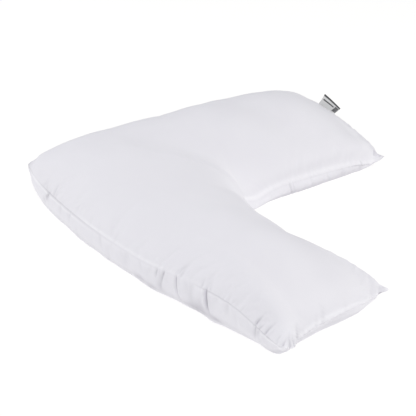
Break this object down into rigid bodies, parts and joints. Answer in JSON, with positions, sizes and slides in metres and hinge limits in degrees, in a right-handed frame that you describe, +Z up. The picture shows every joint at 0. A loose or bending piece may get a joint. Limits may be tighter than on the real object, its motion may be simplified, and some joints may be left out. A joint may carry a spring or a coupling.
{
  "type": "v-shaped pillow",
  "caption": "Filled V-shaped pillow lying flat, two plain white cotton panels seamed all round, with a folded label in one end seam.",
  "frame": {"origin": "on the surface that the pillow lies on, under the middle of its bounding box", "axes": "+Z up through the pillow's thickness; the V opens towards +X and its apex points to -X; one arm runs towards -Y and the other, with the label, towards +Y"},
  "size_m": [0.8095, 0.9887, 0.1818],
  "materials": {
    "white_cotton": "matt plain-weave cotton, fine and tight",
    "grey_satin": "woven satin tape with a dark band along its fold"
  },
  "bodies": {
    "root": {"pillow": "white_cotton", "label": "grey_satin"}
  },
  "joints": []
}
